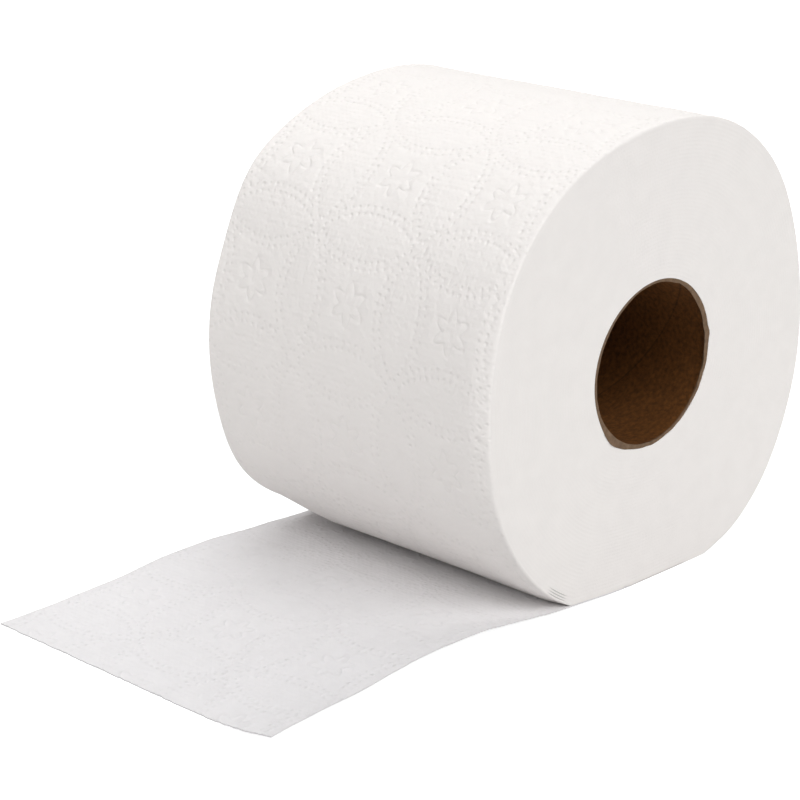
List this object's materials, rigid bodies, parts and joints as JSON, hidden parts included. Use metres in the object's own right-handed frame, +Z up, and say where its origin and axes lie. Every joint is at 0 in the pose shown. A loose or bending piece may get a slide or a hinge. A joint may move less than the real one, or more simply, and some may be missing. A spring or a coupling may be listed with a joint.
{
  "type": "toilet paper roll",
  "caption": "Wound roll of embossed tissue on a cardboard core, lying on its side with its last sheet drawn out flat beside it",
  "frame": {"origin": "on the axis of the core's bore, half way along it", "axes": "+Y along the axis of the core; +Z up, away from the surface the roll lies on; the drawn-out sheet runs towards -X"},
  "size_m": [0.1925, 0.096, 0.118],
  "materials": {
    "tissue": "soft matt embossed white tissue",
    "core_board": "dull brown spiral-wound board"
  },
  "bodies": {
    "root": {"paper": "tissue", "core": "core_board"}
  },
  "joints": []
}
